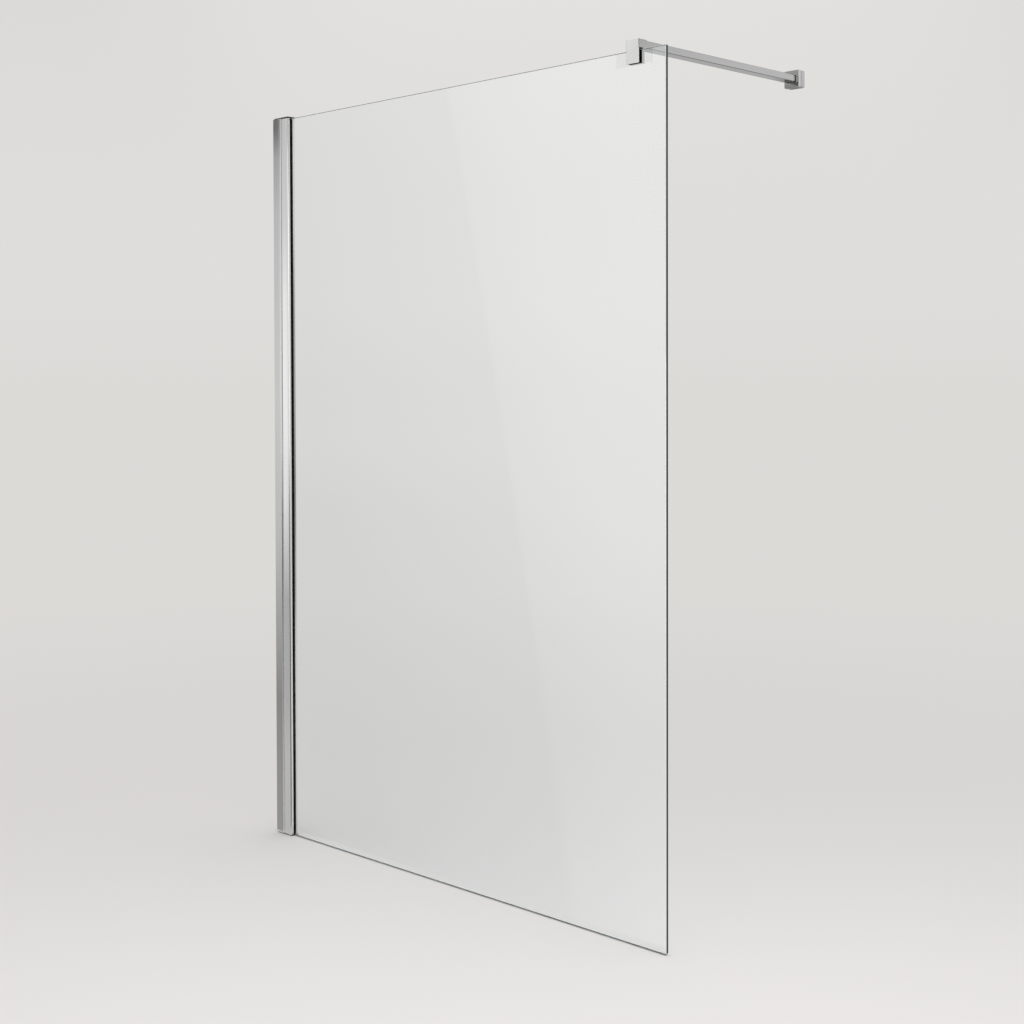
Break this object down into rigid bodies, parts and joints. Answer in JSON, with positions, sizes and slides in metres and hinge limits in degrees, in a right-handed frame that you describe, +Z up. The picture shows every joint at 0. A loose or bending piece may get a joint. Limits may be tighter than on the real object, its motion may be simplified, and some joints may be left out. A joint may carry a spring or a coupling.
{
  "type": "walk-in shower screen",
  "caption": "Fixed clear glass shower screen in a telescoping wall profile, braced at the top edge by a rectangular bar that clamps on the glass and ends in a square wall bracket.",
  "frame": {"origin": "on the wall face of the wall channel, at mid glass thickness, at the lower end of the channel and the glass, 2 mm above the floor", "axes": "+X out from the wall along the glass, +Y from the glass towards the wall that the bar braces it to (the wet side), +Z up"},
  "size_m": [1.38, 0.616, 1.9863],
  "materials": {
    "profile_metal": "bright polished extrusion with fine lengthwise draw lines",
    "chrome_fitting": "mirror chrome plate on cast metal",
    "chrome_bar": "polished chrome tube with faint lengthwise lines",
    "clear_glass": "clear toughened float glass, ground and polished edges with a dark teal cast",
    "black_rubber": "smooth black glazing rubber",
    "black_plastic": "fine matt black moulding",
    "packer_plastic": "plain grey strip",
    "white_nylon": "plain white nylon",
    "plated_plastic": "bright plated plastic",
    "screw_steel": "stainless steel, turned",
    "zinc_steel": "bright zinc-plated steel"
  },
  "bodies": {
    "wall_channel_body": {"wall_channel": "profile_metal", "locking_screws": "screw_steel", "locking_nut_plates": "zinc_steel", "cup_washers": "white_nylon", "screw_cover_caps": "plated_plastic"},
    "glass_unit": {"glass_profile": "profile_metal", "glass_pane": "clear_glass", "edge_packer": "packer_plastic", "outer_glazing_seal": "black_rubber", "inner_glazing_seal": "black_rubber", "profile_top_cap": "black_plastic", "profile_bottom_cap": "black_plastic"},
    "glass_clamp": {"clamp_body": "chrome_fitting", "clamp_front_plate": "chrome_fitting", "clamp_gasket": "black_rubber", "clamp_pressure_plate": "zinc_steel", "clamp_screws": "screw_steel", "clamp_plate_screw": "screw_steel", "brace_bar": "chrome_bar", "bar_lock_screws": "screw_steel"},
    "wall_bracket": {"bracket_base": "chrome_fitting", "bracket_spigot": "chrome_fitting", "spigot_screw": "screw_steel"},
    "bracket_cover_body": {"bracket_cover": "chrome_fitting", "cover_set_screw": "screw_steel"}
  },
  "joints": [
    {"name": "width_adjust", "type": "slide", "parent": "wall_channel_body", "child": "glass_unit", "axis": [1, 0, 0], "range_m": [0, 0.015]},
    {"name": "clamp_slide", "type": "slide", "parent": "glass_unit", "child": "glass_clamp", "axis": [1, 0, 0], "range_m": [-0.4, 0.05]},
    {"name": "bar_adjust", "type": "slide", "parent": "glass_clamp", "child": "wall_bracket", "axis": [0, 1, 0], "range_m": [-0.009, 0.012]},
    {"name": "cover_slide", "type": "slide", "parent": "wall_bracket", "child": "bracket_cover_body", "axis": [0, -1, 0], "range_m": [0, 0.45]}
  ]
}
